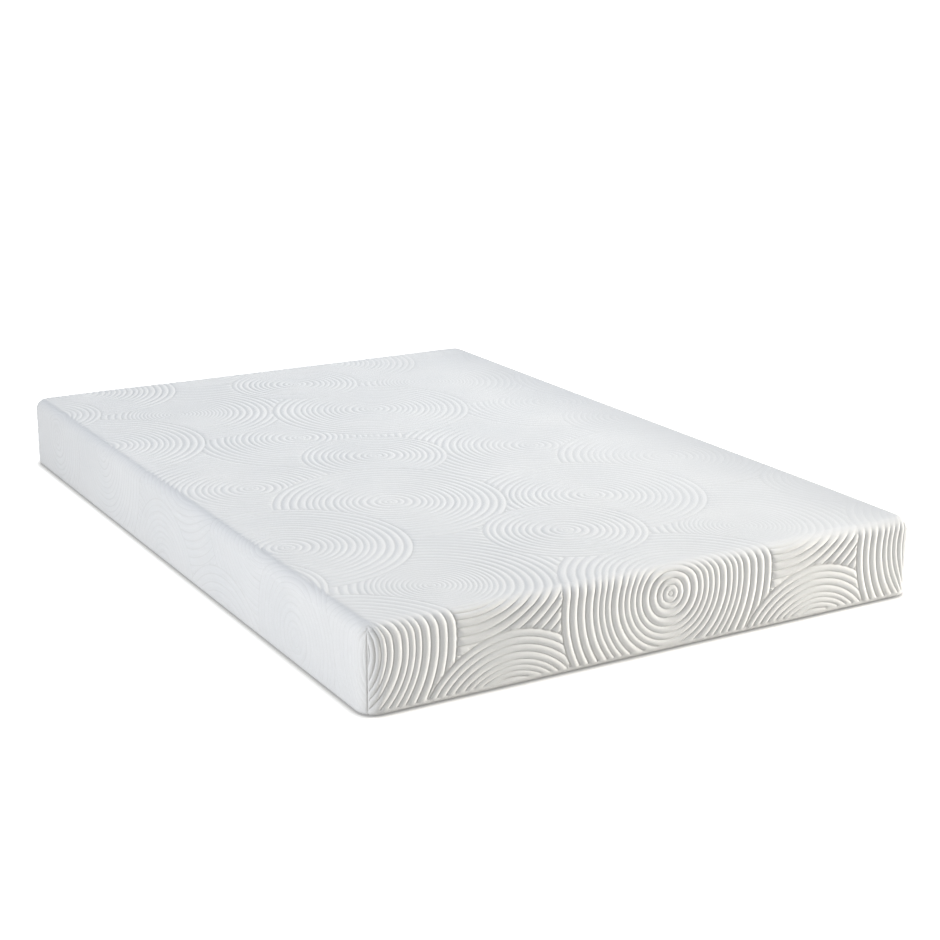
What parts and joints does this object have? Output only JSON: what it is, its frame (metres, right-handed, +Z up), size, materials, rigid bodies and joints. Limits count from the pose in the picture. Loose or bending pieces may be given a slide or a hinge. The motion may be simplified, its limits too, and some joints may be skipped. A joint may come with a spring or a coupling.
{
  "type": "memory foam mattress",
  "caption": "Low rectangular memory foam mattress with soft rounded edges, in a one-piece ringed jacquard cover with a zip across the head end.",
  "frame": {"origin": "middle of the underside, on the surface that the mattress lies on", "axes": "+Y to the head end, +X to the right as seen from the foot end, +Z up through the sleeping surface"},
  "size_m": [1.35, 2.0041, 0.18],
  "materials": {
    "cover_knit": "matte",
    "bottom_knit": "matte",
    "seam_thread": "matte",
    "barrier_knit": "matte",
    "memory_foam": "matte",
    "transition_foam": "matte",
    "support_foam": "matte",
    "zip_tape": "matte",
    "zip_coil": "satin",
    "zip_metal": "satin",
    "label_tape": "satin"
  },
  "bodies": {
    "mattress": {"memory_foam_top": "memory_foam", "transition_foam": "transition_foam", "support_foam_base": "support_foam", "fire_barrier_sleeve": "barrier_knit", "quilted_cover": "cover_knit", "corner_seam_foot_left": "seam_thread", "corner_seam_foot_right": "seam_thread", "corner_seam_head_left": "seam_thread", "corner_seam_head_right": "seam_thread", "bottom_panel": "bottom_knit", "bottom_seam": "seam_thread", "zip_tape_upper": "zip_tape", "zip_tape_lower": "zip_tape", "zip_coil_upper": "zip_coil", "zip_coil_lower": "zip_coil", "zip_stop_left": "zip_metal", "zip_stop_right": "zip_metal", "care_label": "label_tape"},
    "slider": {"zip_slider": "zip_metal"},
    "pull_tab": {"zip_pull_tab": "zip_metal"}
  },
  "joints": [
    {"name": "zip_travel", "type": "slide", "parent": "mattress", "child": "slider", "axis": [1, 0, 0], "range_m": [0, 1.2]},
    {"name": "pull_tab_swing", "type": "hinge", "parent": "slider", "child": "pull_tab", "pos_m": [-0.6, 1.0013, 0.04], "axis": [0, 0, -1], "range_deg": [0, 175]}
  ]
}
